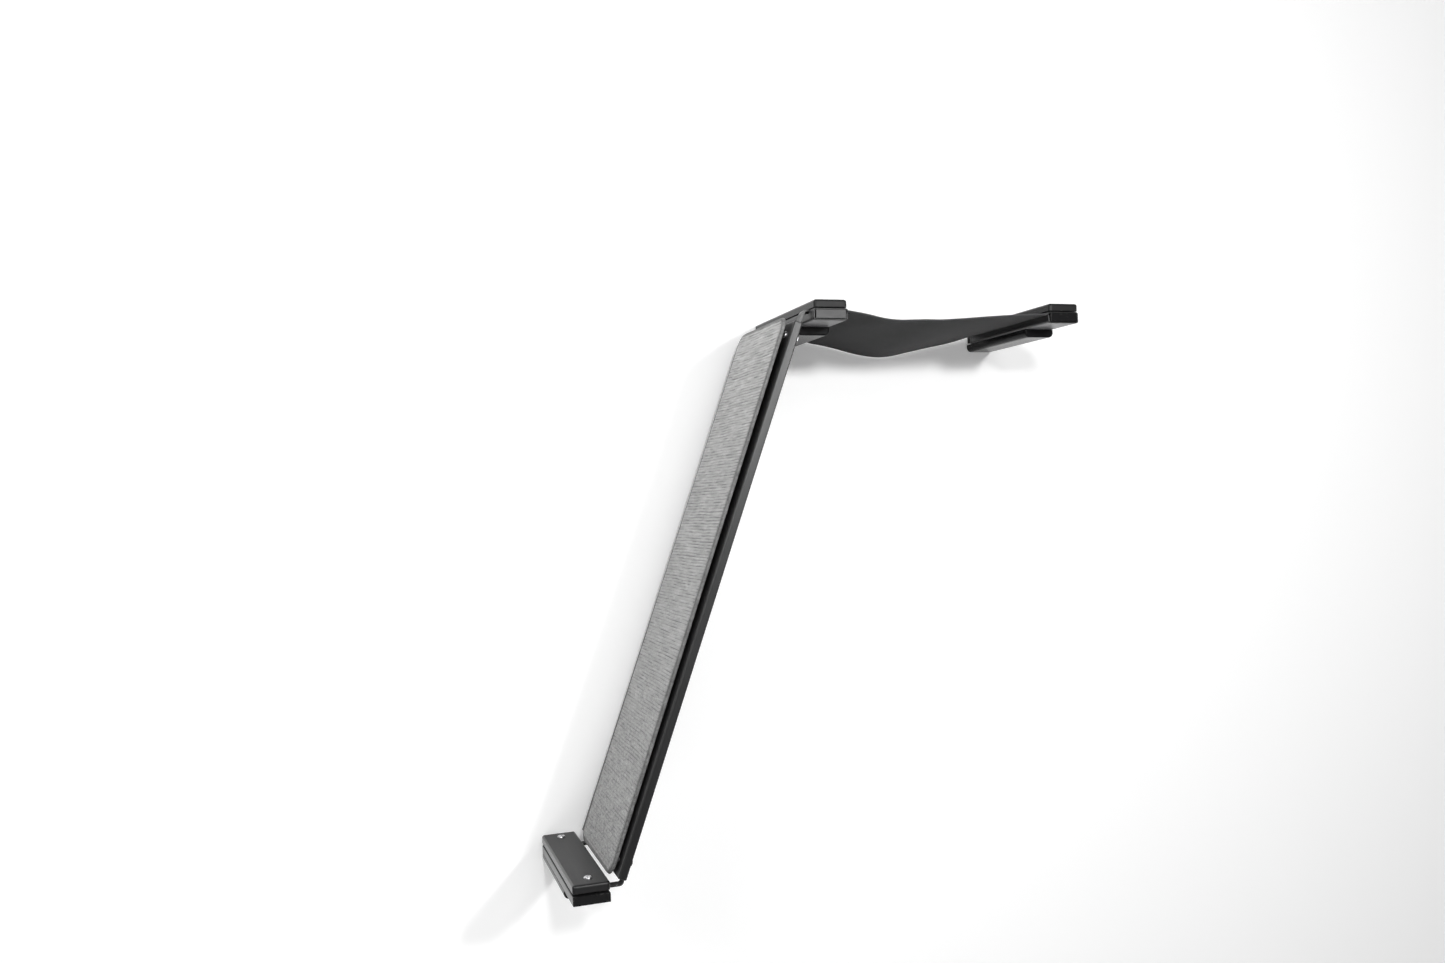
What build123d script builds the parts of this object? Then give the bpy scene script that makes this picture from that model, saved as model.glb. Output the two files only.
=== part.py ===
"""Cat wall lounge: a scratching ramp from a low step up to a fabric hammock slung between two brackets.

Millimetres. +X runs along the wall to the right, +Y points into the wall, +Z is up. The wall face is y = 0.
The origin is midway between the two wall screw holes of the upper left bracket.
"""

import os
from math import atan2, cos, degrees, sin, sqrt, tan

from build123d import *

# Boards shared by the brackets and the ramp
board_thickness = 12.7
edge_round = 4.0
under_edge_round = 1.5
plain_edge_round = 1.2

# Brackets: two slats over a shorter block, the slats held apart by the straps or by the hammock cloth
slat_width = 53.5
board_depth = 260.0
slat_corner_round = 5.0
block_depth = 190.0
block_nose_round = 3.0
block_edge_round = 8.0
upper_spacing = 406.4
step_offset = 393.5

# Bolts through the slats
bolt_radius = 3.0
bolt_hole_clearance = 0.25
bolt_head_radius = 6.0
bolt_head_height = 2.5
bolt_head_dome = 2.0
bolt_socket_radius = 2.0
bolt_socket_depth = 1.6
rear_bolt_from_wall = 22.0
front_bolt_from_end = 26.0
insert_radius = 4.5
insert_length = 9.0
insert_bore_clearance = 0.05
insert_fit_clearance = 0.05
bolt_end_gap = 1.0

# Wood screws from the lower slat down into the block
block_screw_radius = 2.0
block_screw_head_radius = 4.0
block_screw_head_height = 2.4
block_screw_bite = 8.0
block_screw_clearance = 0.1
rear_block_screw_from_wall = 70.0
front_block_screw_from_wall = 125.0

# Hidden steel wall angles
angle_thickness = 4.0
angle_width = 38.0
angle_leg_cover = 4.6
angle_tongue_length = 150.0
angle_bend_round = 2.0
angle_clearance = 0.3
wall_screw_hole_radius = 3.3
wall_screw_spacing = 20.0
wall_screw_rise = 13.0
head_pocket_room = 14.0
head_pocket_depth = 8.0

# Steel straps between the brackets and the ramp
strap_thickness = 3.2
strap_width = 12.7
lower_inner_bend = 3.0
upper_inner_bend = 8.8
lower_strap_reach = 19.0
upper_strap_reach = 10.8
strap_end_beyond_bolt = 9.0
strap_slot_clearance = 0.8

# Ramp plank
plank_length = 838.0
plank_edge_round = 1.8
plank_lower_gap = 9.8
plank_upper_gap = 25.64
plank_bolt_from_end = 20.0

# Ramp fasteners
ramp_bolt_beyond_nut = 1.0
nut_across_flats = 10.0
nut_height = 3.2
washer_radius = 6.5
washer_thickness = 1.0

# Scratching panel, held off the plank by spacers, a little nearer to it at the lower end
panel_lower_reach = 4.9
panel_upper_reach = 7.0
panel_wall_gap = 33.5
panel_front_gap = 16.0
panel_corner_round = 24.0
panel_lower_air_gap = 3.2
panel_upper_air_gap = 6.3
cover_thickness = 1.3
cover_rim = 3.0
cover_edge_round = 2.5
cover_turn_in = 18.0
panel_board_thickness = 3.0
spacer_radius = 8.0
panel_screw_radius = 2.0
panel_screw_head_radius = 3.8
panel_screw_head_height = 2.2
panel_screw_bite = 10.0
panel_screw_clearance = 0.1
panel_screw_rows = 3
panel_screw_inset = 40.0

# Hammock cloth: a pocket round the lower slat of each upper bracket and a sling between them
cloth_clearance = 0.1
pocket_side_clearance = 0.2
cloth_wall_gap = 14.0
cloth_front_gap = 2.0
pocket_slat_inset = 1.75
sling_lap = 1.5
sling_drop = 1.6
front_sag = 16.8
middle_sag = 33.0
wall_sag = 42.5
sag_bend_radius = 180.0
front_lowest_share = 0.24
middle_lowest_share = 0.38
wall_lowest_share = 0.49

# Cuts run past the faces that they open by this much
overrun = 1.0

# Levels in a bracket, measured down from its top face
layer_gap = strap_thickness
cloth_thickness = layer_gap - 2 * cloth_clearance
lower_slat_top = board_thickness + layer_gap
lower_slat_bottom = lower_slat_top + board_thickness
plain_block_top = lower_slat_bottom
pocket_block_top = lower_slat_bottom + cloth_thickness + 2 * cloth_clearance
angle_leg_height = plain_block_top - angle_leg_cover

# Places across and along a bracket
half_slat = slat_width / 2
pocket_slat_width = slat_width - 2 * pocket_slat_inset
front_bolt_from_wall = board_depth - front_bolt_from_end
bolts_from_wall = (rear_bolt_from_wall, front_bolt_from_wall)
block_screws_from_wall = (rear_block_screw_from_wall, front_block_screw_from_wall)

# Where the ramp runs: the plank's underside passes through the upper corner of each strap's bend
corner_distance = plank_lower_gap + plank_length + plank_upper_gap
corner_run = step_offset - slat_width - lower_strap_reach - upper_strap_reach
step_drop = sqrt(corner_distance**2 - corner_run**2)
ramp_angle = atan2(step_drop, corner_run)

# Places of the three brackets' top faces, and of the two corners
upper_top = pocket_block_top - wall_screw_rise
step_top = upper_top - step_drop
step_x = -step_offset
low_corner_x = step_x + half_slat + lower_strap_reach
low_corner_z = step_top - board_thickness
high_corner_x = -half_slat - upper_strap_reach
high_corner_z = upper_top - board_thickness


def block(x_low, x_high, y_low, y_high, z_low, z_high):
    """A plain box between two corners."""
    size = (x_high - x_low, y_high - y_low, z_high - z_low)
    middle = ((x_low + x_high) / 2, (y_low + y_high) / 2, (z_low + z_high) / 2)
    return Pos(*middle) * Box(*size)


def rod(radius, x, y, z_low, z_high):
    """A round bar standing along Z between two levels."""
    return Pos(x, y, (z_low + z_high) / 2) * Cylinder(radius, z_high - z_low)


def countersunk(shank_radius, head_radius, head_height, x, y, z_top, z_end, grow=0.0):
    """A countersunk screw, or the hole for it where grow is its clearance."""
    head = Pos(x, y, z_top - head_height / 2) * Cone(shank_radius + grow, head_radius + grow, head_height)
    return head + rod(shank_radius + grow, x, y, z_end, z_top - head_height)


def button_bolt(x, y, z_seat, length):
    """A button head bolt with a hexagon socket, its head standing on z_seat and its shank below it."""
    head = Pos(x, y, z_seat + bolt_head_height / 2) * Cylinder(bolt_head_radius, bolt_head_height)
    head = fillet(head.edges().group_by(Axis.Z)[-1], bolt_head_dome)
    socket = Pos(x, y, z_seat + bolt_head_height - bolt_socket_depth) * extrude(
        RegularPolygon(bolt_socket_radius, 6), bolt_socket_depth + overrun
    )
    return head + rod(bolt_radius, x, y, z_seat - length, z_seat) - socket


def write(name, *solids):
    """Writes one named piece, or one group of like pieces."""
    shape = solids[0] if len(solids) == 1 else Compound(children=list(solids))
    shape.label = name
    export_step(shape, f"parts/{name}.step")


def long_edges(shape):
    return shape.edges().filter_by(Axis.Y)


def top_slat():
    """The upper board of a bracket, well rounded above and a little below, with its bolt holes."""
    half = half_slat
    board = block(-half, half, -board_depth, 0, -board_thickness, 0)
    board = fillet(board.edges().filter_by(Axis.Z).group_by(Axis.Y)[0], slat_corner_round)
    rim = board.faces().sort_by(Axis.Z)[-1].edges()
    board = fillet([edge for edge in rim if edge.center().Y < 0], edge_round)
    rim = board.faces().sort_by(Axis.Z)[0].edges()
    board = fillet([edge for edge in rim if edge.center().Y < 0], under_edge_round)
    for y in bolts_from_wall:
        hole_radius = bolt_radius + bolt_hole_clearance
        board -= rod(hole_radius, 0, -y, -board_thickness - overrun, overrun)
    return board


def angle_recess(block_top):
    """Room behind the slats for the wall angle's leg and the heads of the wall screws."""
    half = angle_width / 2 + angle_clearance
    leg_top = angle_leg_height - block_top + angle_clearance
    leg = block(-half, half, -angle_thickness - angle_clearance, overrun, -block_top, leg_top)
    bend_room = block(
        -half,
        half,
        -angle_thickness - angle_bend_round - angle_clearance,
        0,
        -block_top,
        angle_bend_round + angle_clearance - block_top,
    )
    heads_half = (wall_screw_spacing + head_pocket_room) / 2
    heads_back = -angle_thickness - head_pocket_depth
    heads_low = wall_screw_rise - head_pocket_room / 2 - block_top
    heads = block(-heads_half, heads_half, heads_back, 0, heads_low, heads_low + head_pocket_room)
    return leg + bend_room + heads


def lower_slat(width, block_top):
    """The second board, with a seat for the front insert and holes for the rear bolt and block screws."""
    half = width / 2
    board = block(-half, half, -board_depth, 0, -lower_slat_bottom, -lower_slat_top)
    board = fillet(long_edges(board) + board.edges().filter_by(Axis.Z).group_by(Axis.Y)[0], plain_edge_round)
    seat_end = -lower_slat_top - insert_length
    board -= rod(insert_radius + insert_fit_clearance, 0, -front_bolt_from_wall, seat_end, -board_thickness)
    hole_radius = bolt_radius + bolt_hole_clearance
    board -= rod(hole_radius, 0, -rear_bolt_from_wall, -lower_slat_bottom - overrun, -board_thickness)
    for y in block_screws_from_wall:
        board -= countersunk(
            block_screw_radius,
            block_screw_head_radius,
            block_screw_head_height,
            0,
            -y,
            -lower_slat_top,
            -lower_slat_bottom - overrun,
            block_screw_clearance,
        )
    return board - angle_recess(block_top)


def support_block(block_top):
    """The short board below, round underneath, with a channel for the angle's tongue and blind seats."""
    half = half_slat
    bottom = block_top + board_thickness
    board = block(-half, half, -block_depth, 0, -bottom, -block_top)
    board = fillet(board.edges().filter_by(Axis.Y).group_by(Axis.Z)[0], block_edge_round)
    nose = board.faces().sort_by(Axis.Y)[0].edges().sort_by(Axis.Z)[:-1]
    board = fillet(nose, block_nose_round)
    channel_half = angle_width / 2 + angle_clearance
    channel_end = -angle_tongue_length - angle_clearance
    tongue_bottom = -block_top - angle_thickness
    board -= block(-channel_half, channel_half, channel_end, overrun, tongue_bottom, overrun - block_top)
    board -= rod(
        insert_radius + insert_fit_clearance,
        0,
        -rear_bolt_from_wall,
        -block_top - angle_thickness - insert_seat_depth,
        -block_top,
    )
    for y in block_screws_from_wall:
        board -= rod(
            block_screw_radius + block_screw_clearance,
            0,
            -y,
            tongue_bottom - block_screw_bite - block_screw_clearance,
            -block_top,
        )
    return board


def wall_angle(block_top):
    """A bent steel strip: a leg screwed to the wall and a tongue let into the top of the block."""
    half = angle_width / 2
    top = -block_top
    leg = block(-half, half, -angle_thickness, 0, top - angle_thickness, top + angle_leg_height)
    tongue = block(-half, half, -angle_tongue_length, 0, top - angle_thickness, top)
    angle = leg + tongue
    bend = angle.edges().filter_by(Axis.X).filter_by_position(Axis.Z, top, top)
    bend = bend.filter_by_position(Axis.Y, -angle_thickness, -angle_thickness)
    angle = fillet(bend, angle_bend_round)
    for x in (-wall_screw_spacing / 2, wall_screw_spacing / 2):
        hole = Cylinder(wall_screw_hole_radius, angle_thickness + 2 * overrun, rotation=(90, 0, 0))
        angle -= Pos(x, -angle_thickness / 2, top + wall_screw_rise) * hole
    angle -= rod(
        bolt_radius + bolt_hole_clearance,
        0,
        -rear_bolt_from_wall,
        top - angle_thickness - overrun,
        top + overrun,
    )
    for y in block_screws_from_wall:
        radius = block_screw_radius + block_screw_clearance
        angle -= rod(radius, 0, -y, top - angle_thickness - overrun, top + overrun)
    return angle


# The rear insert is let into what is left of the block under the tongue
insert_seat_depth = board_thickness - angle_thickness - bolt_end_gap


def insert(y, z_top, length):
    """A threaded sleeve let into a board."""
    outer = rod(insert_radius, 0, -y, z_top - length, z_top)
    return outer - rod(bolt_radius + insert_bore_clearance, 0, -y, z_top - length - overrun, z_top + overrun)


def bracket(name, x, z, lower_width, block_top):
    """Writes the seven kinds of piece that make one bracket whose top face is at height z."""
    place = Pos(x, 0, z)
    front_length = lower_slat_top + insert_length - bolt_end_gap
    tongue_bottom = block_top + angle_thickness
    rear_length = tongue_bottom + insert_seat_depth - bolt_end_gap
    write(f"{name}_top_slat", place * (top_slat() - angle_recess(block_top)))
    write(f"{name}_lower_slat", place * lower_slat(lower_width, block_top))
    write(f"{name}_support_block", place * support_block(block_top))
    write(f"{name}_wall_angle", place * wall_angle(block_top))
    write(
        f"{name}_bolts",
        place * button_bolt(0, -rear_bolt_from_wall, 0, rear_length),
        place * button_bolt(0, -front_bolt_from_wall, 0, front_length),
    )
    write(
        f"{name}_inserts",
        place * insert(rear_bolt_from_wall, -tongue_bottom, insert_seat_depth),
        place * insert(front_bolt_from_wall, -lower_slat_top, insert_length),
    )
    screws = []
    for y in block_screws_from_wall:
        screws.append(
            place
            * countersunk(
                block_screw_radius,
                block_screw_head_radius,
                block_screw_head_height,
                0,
                -y,
                -lower_slat_top,
                -tongue_bottom - block_screw_bite,
            )
        )
    write(f"{name}_block_screws", *screws)


plank_half = board_thickness / 2
middle_along = plank_lower_gap + plank_length / 2
ramp_middle = (
    low_corner_x + middle_along * cos(ramp_angle) - plank_half * sin(ramp_angle),
    0,
    low_corner_z + middle_along * sin(ramp_angle) + plank_half * cos(ramp_angle),
)

# The ramp's own frame: x up the slope, y into the wall, z out of the scratching side, at the plank's middle
up_the_ramp = (cos(ramp_angle), 0, sin(ramp_angle))
out_of_the_ramp = (-sin(ramp_angle), 0, cos(ramp_angle))
ramp_frame = Location(Plane(ramp_middle, x_dir=up_the_ramp, z_dir=out_of_the_ramp))
bolt_along = plank_length / 2 - plank_bolt_from_end

# The scratching panel's outline, and the length of the bolts through plank, strap, washer and nut
panel_length = plank_length + panel_lower_reach + panel_upper_reach
panel_width = board_depth - panel_wall_gap - panel_front_gap
clamped = board_thickness + strap_thickness + washer_thickness + nut_height
ramp_bolt_length = clamped + ramp_bolt_beyond_nut


def ramp_plank():
    """The long board that the panel and the straps are fixed to."""
    half = plank_length / 2
    board = block(-half, half, -board_depth, 0, -plank_half, plank_half)
    board = fillet(board.edges(), plank_edge_round)
    for along in (-bolt_along, bolt_along):
        for y in bolts_from_wall:
            hole_radius = bolt_radius + bolt_hole_clearance
            board -= rod(hole_radius, along, -y, -plank_half - overrun, plank_half + overrun)
    for along, y in panel_screw_places():
        board -= panel_place * rod(
            panel_screw_radius + panel_screw_clearance,
            along,
            -y,
            screw_end - panel_screw_clearance,
            cover_back,
        )
    return board


def panel_screw_places():
    """Distances along the panel from its middle, and out from the wall, of the panel's screws."""
    first = -panel_length / 2 + panel_screw_inset + cover_turn_in
    step = -2 * first / (panel_screw_rows - 1)
    near = panel_wall_gap + panel_screw_inset
    far = panel_wall_gap + panel_width - panel_screw_inset
    return [(first + step * row, y) for row in range(panel_screw_rows) for y in (near, far)]


def panel_slab(inset, z_low, z_high):
    """A round cornered slab of the panel's outline, drawn in by inset on every side."""
    middle_y = -(panel_wall_gap + panel_width / 2)
    outline = RectangleRounded(
        panel_length - 2 * inset, panel_width - 2 * inset, panel_corner_round - inset
    )
    return Pos(0, middle_y, z_low) * extrude(outline, z_high - z_low)


# Heights over the plank's middle in the panel's own frame, which leans a little in the ramp's
cover_back = plank_half + (panel_lower_air_gap + panel_upper_air_gap) / 2
board_back = cover_back + cover_thickness
board_front = board_back + panel_board_thickness
cover_front = board_front + cover_thickness
screw_end = plank_half - panel_screw_bite
panel_lean = degrees(atan2(panel_upper_air_gap - panel_lower_air_gap, panel_length))
panel_place = Pos((panel_upper_reach - panel_lower_reach) / 2, 0, 0) * Rot(0, -panel_lean, 0)


def scratcher_board():
    """The stiff sheet inside the panel, countersunk for the screws that hold it to the plank."""
    board = panel_slab(cover_rim, board_back, board_front)
    for along, y in panel_screw_places():
        board -= countersunk(
            panel_screw_radius,
            panel_screw_head_radius,
            panel_screw_head_height,
            along,
            -y,
            board_front,
            board_back - overrun,
            panel_screw_clearance,
        )
    return board


def scratcher_cover():
    """The woven cover: over the board's face, round its edges and turned in behind it."""
    slab = panel_slab(0, cover_back, cover_front)
    rims = slab.faces().sort_by(Axis.Z)[-1].edges() + slab.faces().sort_by(Axis.Z)[0].edges()
    slab = fillet(rims, cover_edge_round)
    slab -= panel_slab(cover_rim, board_back, board_front)
    half_length = panel_length / 2 - cover_turn_in
    near = -panel_wall_gap - cover_turn_in
    far = -panel_wall_gap - panel_width + cover_turn_in
    return slab - block(-half_length, half_length, far, near, cover_back - overrun, board_back)


def panel_spacer(along, y):
    """A sleeve from the board's back down to the plank, in the ramp's frame, cut off level with the plank."""
    bore_radius = panel_screw_radius + panel_screw_clearance
    sleeve = rod(spacer_radius, along, -y, 0, board_back) - rod(bore_radius, along, -y, -overrun, board_front)
    return panel_place * sleeve - block(-plank_length, plank_length, -board_depth, 0, -board_depth, plank_half)


def panel_screw(along, y):
    return countersunk(
        panel_screw_radius,
        panel_screw_head_radius,
        panel_screw_head_height,
        along,
        -y,
        board_front,
        screw_end,
    )


def strap(reach, end_gap, turn, upper_bend, under_bend, from_wall):
    """A bent strap at one distance from the wall, with a bolt hole in each leg.

    Its flat leg lies below z = 0 and ends at the origin. From there its other leg runs off at the angle turn.
    """
    flat_length = reach + half_slat + strap_end_beyond_bolt
    slope_length = end_gap + plank_bolt_from_end + strap_end_beyond_bolt
    slope_end = (slope_length * cos(turn), slope_length * sin(turn))
    mitre = strap_thickness * tan(turn / 2)
    under_corner = (mitre, -strap_thickness)
    under_end = (slope_end[0] + strap_thickness * sin(turn), slope_end[1] - strap_thickness * cos(turn))
    upper = FilletPolyline((-flat_length, 0), (0, 0), slope_end, radius=upper_bend)
    under = FilletPolyline((-flat_length, -strap_thickness), under_corner, under_end, radius=under_bend)
    ends = [Line(upper @ 0, under @ 0), Line(upper @ 1, under @ 1)]
    outline = Plane.XZ * make_face(upper.edges() + under.edges() + ends)
    bar = Pos(0, -from_wall + strap_width / 2, 0) * extrude(outline, strap_width)
    hole_radius = bolt_radius + bolt_hole_clearance
    low, high = -strap_thickness - overrun, overrun
    flat_hole = rod(hole_radius, -reach - half_slat, -from_wall, low, high)
    slope_hole = rod(hole_radius, end_gap + plank_bolt_from_end, -from_wall, low, high)
    return bar - flat_hole - Rot(0, -degrees(turn), 0) * slope_hole


def ramp_bolt(along, y):
    """A bolt through plank and strap, its head on the panel's side."""
    return button_bolt(along, -y, plank_half, ramp_bolt_length)


def washer(along, y):
    top = -plank_half - strap_thickness
    ring = rod(washer_radius, along, -y, top - washer_thickness, top)
    bore_radius = bolt_radius + bolt_hole_clearance
    return ring - rod(bore_radius, along, -y, top - washer_thickness - overrun, top + overrun)


def nut(along, y):
    top = -plank_half - strap_thickness - washer_thickness
    outline = RegularPolygon(nut_across_flats / 2, 6, major_radius=False)
    body = Pos(along, -y, top - nut_height) * extrude(outline, nut_height)
    bore_radius = bolt_radius + insert_bore_clearance
    return body - rod(bore_radius, along, -y, top - nut_height - overrun, top + overrun)


# The sling hangs between the facing sides of the upper brackets' pockets
pocket_half = pocket_slat_width / 2 + pocket_side_clearance
pocket_outer = pocket_half + cloth_thickness
cloth_top = upper_top - board_thickness - cloth_clearance
sling_left = pocket_outer - sling_lap
sling_right = upper_spacing - pocket_outer + sling_lap
cloth_front = board_depth - cloth_front_gap


def sling_section(from_wall, lowest_share, sag):
    """The sling cut across at one distance from the wall: two straight runs and the bend between them."""
    start = cloth_top - sling_drop
    lowest = (sling_left + (sling_right - sling_left) * lowest_share, start - sag)
    points = [(sling_left, start), lowest, (sling_right, start)]
    upper = FilletPolyline(*points, radius=sag_bend_radius)
    under = FilletPolyline(*[(x, z - cloth_thickness) for x, z in points], radius=sag_bend_radius)
    ends = [Line(upper @ 0, under @ 0), Line(upper @ 1, under @ 1)]
    return Plane.XZ.offset(from_wall) * make_face(upper.edges() + under.edges() + ends)


def pocket(x):
    """The tube of cloth round the lower slat of the bracket at x."""
    top = cloth_top
    bottom = upper_top - lower_slat_bottom - cloth_clearance - cloth_thickness
    outer = block(x - pocket_outer, x + pocket_outer, -cloth_front, -cloth_wall_gap, bottom, top)
    slat_room = block(
        x - pocket_half,
        x + pocket_half,
        -cloth_front - overrun,
        overrun,
        bottom + cloth_thickness,
        top - cloth_thickness,
    )
    return outer - slat_room


def pocket_holes(x):
    """Holes in a pocket for the bracket's rear and front bolts and its block screws."""
    radius = bolt_radius + bolt_hole_clearance
    high = upper_top
    low = upper_top - pocket_block_top
    holes = [rod(radius, x, -y, low, high) for y in bolts_from_wall]
    head_radius = block_screw_head_radius + block_screw_clearance
    holes += [rod(head_radius, x, -y, low, high) for y in block_screws_from_wall]
    return holes


def strap_slot(from_wall):
    """The opening in the left pocket where a strap passes in under the top slat."""
    half = strap_width / 2 + strap_slot_clearance
    inner_end = strap_end_beyond_bolt + strap_slot_clearance
    low = upper_top - lower_slat_top - cloth_clearance
    return block(-pocket_outer - overrun, inner_end, -from_wall - half, -from_wall + half, low, upper_top)


def hammock_fabric():
    """The sewn cloth: a sling with a pocket at each end."""
    sections = [
        sling_section(cloth_wall_gap, wall_lowest_share, wall_sag),
        sling_section((cloth_wall_gap + cloth_front) / 2, middle_lowest_share, middle_sag),
        sling_section(cloth_front, front_lowest_share, front_sag),
    ]
    cloth = loft(sections) + pocket(0) + pocket(upper_spacing)
    for x in (0, upper_spacing):
        for hole in pocket_holes(x):
            cloth -= hole
    for from_wall in bolts_from_wall:
        cloth -= strap_slot(from_wall)
    return cloth


def main():
    os.makedirs("parts", exist_ok=True)

    bracket("upper_left", 0, upper_top, pocket_slat_width, pocket_block_top)
    bracket("upper_right", upper_spacing, upper_top, pocket_slat_width, pocket_block_top)
    bracket("step", step_x, step_top, slat_width, plain_block_top)

    write("hammock_fabric", hammock_fabric())

    write("ramp_plank", ramp_frame * ramp_plank())
    panel_frame = ramp_frame * panel_place
    write("scratcher_board", panel_frame * scratcher_board())
    write("scratcher_cover", panel_frame * scratcher_cover())
    places = panel_screw_places()
    write("panel_spacers", *[ramp_frame * panel_spacer(along, y) for along, y in places])
    write("panel_screws", *[panel_frame * panel_screw(along, y) for along, y in places])

    low_corner = Pos(low_corner_x, 0, low_corner_z)
    high_corner = Pos(high_corner_x, 0, high_corner_z)
    lower_bends = (lower_inner_bend, lower_inner_bend + strap_thickness)
    upper_bends = (upper_inner_bend + strap_thickness, upper_inner_bend)
    for end, y in (("rear", rear_bolt_from_wall), ("front", front_bolt_from_wall)):
        lower = strap(lower_strap_reach, plank_lower_gap, ramp_angle, *lower_bends, y)
        upper = strap(upper_strap_reach, plank_upper_gap, -ramp_angle, *upper_bends, y)
        write(f"lower_{end}_strap", low_corner * lower)
        write(f"upper_{end}_strap", high_corner * mirror(upper, Plane.YZ))

    for side, along in (("lower", -bolt_along), ("upper", bolt_along)):
        write(f"{side}_strap_bolts", *[ramp_frame * ramp_bolt(along, y) for y in bolts_from_wall])
        write(f"{side}_strap_washers", *[ramp_frame * washer(along, y) for y in bolts_from_wall])
        write(f"{side}_strap_nuts", *[ramp_frame * nut(along, y) for y in bolts_from_wall])

    print("ramp angle", round(degrees(ramp_angle), 2), "degrees")


main()
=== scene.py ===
from math import atan2, cos, pi, radians, sin, sqrt

import bmesh
import bpy
import numpy as np
from mathutils import Matrix, Vector


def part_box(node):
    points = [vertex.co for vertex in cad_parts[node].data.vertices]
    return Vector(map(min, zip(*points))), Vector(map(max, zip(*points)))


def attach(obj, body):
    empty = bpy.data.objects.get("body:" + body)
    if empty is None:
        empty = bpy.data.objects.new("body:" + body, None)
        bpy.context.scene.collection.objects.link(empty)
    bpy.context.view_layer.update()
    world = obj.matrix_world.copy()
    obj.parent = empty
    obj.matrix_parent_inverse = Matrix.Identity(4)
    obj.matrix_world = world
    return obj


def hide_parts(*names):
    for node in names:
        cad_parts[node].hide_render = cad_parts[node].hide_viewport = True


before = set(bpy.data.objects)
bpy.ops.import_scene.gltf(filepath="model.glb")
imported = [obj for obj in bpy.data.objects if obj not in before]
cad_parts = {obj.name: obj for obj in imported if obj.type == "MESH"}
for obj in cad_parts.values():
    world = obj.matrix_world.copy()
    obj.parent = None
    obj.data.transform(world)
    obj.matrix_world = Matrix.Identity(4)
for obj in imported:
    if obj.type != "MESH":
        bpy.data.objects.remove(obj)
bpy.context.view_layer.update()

# Lengths of the construction, in metres, as the frame has them
MM = 0.001
BOARD = 12.7 * MM
SLAT_WIDTH = 53.5 * MM
UPPER_TOP = 18.8 * MM
UPPER_SPACING = 406.4 * MM
STEP_OFFSET = 393.5 * MM
PLANK_LENGTH = 838 * MM
BOARD_DEPTH = 260 * MM
BOLT_ROWS = (-22 * MM, -234 * MM)
CLOTH_FRONT = -258 * MM
CLOTH_WALL = -14 * MM
BLOCK_SCREW_ROWS = (-70 * MM, -125 * MM)

# The ramp's slope and the middle of its plank, worked out as the construction does
LOWER_REACH, UPPER_REACH = 19 * MM, 10.8 * MM
LOWER_GAP, UPPER_GAP = 9.8 * MM, 25.64 * MM
RUN = STEP_OFFSET - SLAT_WIDTH - LOWER_REACH - UPPER_REACH
SLOPE_LENGTH = LOWER_GAP + PLANK_LENGTH + UPPER_GAP
RISE = sqrt(SLOPE_LENGTH**2 - RUN**2)
RAMP_ANGLE = atan2(RISE, RUN)
CORNER = Vector((SLAT_WIDTH / 2 + LOWER_REACH - STEP_OFFSET, 0, UPPER_TOP - RISE - BOARD))
UP = Vector((cos(RAMP_ANGLE), 0, sin(RAMP_ANGLE)))
OUT = Vector((-sin(RAMP_ANGLE), 0, cos(RAMP_ANGLE)))
RAMP_MIDDLE = CORNER + UP * (LOWER_GAP + PLANK_LENGTH / 2) + OUT * (BOARD / 2)

# The scratching panel leans a little towards the plank at its lower end
PANEL_LENGTH, PANEL_WIDTH, PANEL_WALL_GAP = 849.9 * MM, 210.5 * MM, 33.5 * MM
LOWER_AIR_GAP, UPPER_AIR_GAP = 3.2 * MM, 6.3 * MM
LEAN = atan2(UPPER_AIR_GAP - LOWER_AIR_GAP, PANEL_LENGTH)
PANEL_UP = UP * cos(LEAN) + OUT * sin(LEAN)
PANEL_OUT = OUT * cos(LEAN) - UP * sin(LEAN)
PANEL_LOWER_REACH = 4.9 * MM
PANEL_MIDDLE = RAMP_MIDDLE + UP * ((PANEL_LENGTH - PLANK_LENGTH) / 2 - PANEL_LOWER_REACH)


# Camera: its place in metres, its turns in radians, and its focal length in pixels of the frame
FRAME_WIDTH = 1445
FOCAL_LENGTH = 1144.475
SENSOR_WIDTH = 36
CAMERA_PLACE = (-0.69498, -1.83093, -0.27105)
YAW, PITCH, ROLL = 0.316, 0.0134, -0.0379


def make_camera():
    """The camera fitted to the photograph, for a frame 1445 wide and 963 high."""
    forward = Vector((sin(YAW) * cos(PITCH), cos(YAW) * cos(PITCH), sin(PITCH)))
    level_right = Vector((cos(YAW), -sin(YAW), 0))
    level_up = level_right.cross(forward)
    right = level_right * cos(ROLL) + level_up * sin(ROLL)
    up = level_up * cos(ROLL) - level_right * sin(ROLL)
    data = bpy.data.cameras.new("camera")
    data.sensor_width = SENSOR_WIDTH
    data.lens = FOCAL_LENGTH / FRAME_WIDTH * SENSOR_WIDTH
    camera = bpy.data.objects.new("camera", data)
    turn = Matrix((right, up, -forward)).transposed()
    camera.matrix_world = Matrix.Translation(CAMERA_PLACE) @ turn.to_4x4()
    bpy.context.scene.collection.objects.link(camera)
    bpy.context.scene.camera = camera


# Node helpers

def add(tree, kind, inputs=None, **settings):
    """Adds a node. An input given as a socket is linked, any other value is set."""
    node = tree.nodes.new(kind)
    for name, value in settings.items():
        setattr(node, name, value)
    for key, value in (inputs or {}).items():
        if isinstance(value, bpy.types.NodeSocket):
            tree.links.new(value, node.inputs[key])
        else:
            node.inputs[key].default_value = value
    return node


def rgba(value):
    """A grey or a colour as four numbers."""
    return (*value, 1) if hasattr(value, "__len__") else (value, value, value, 1)


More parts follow.
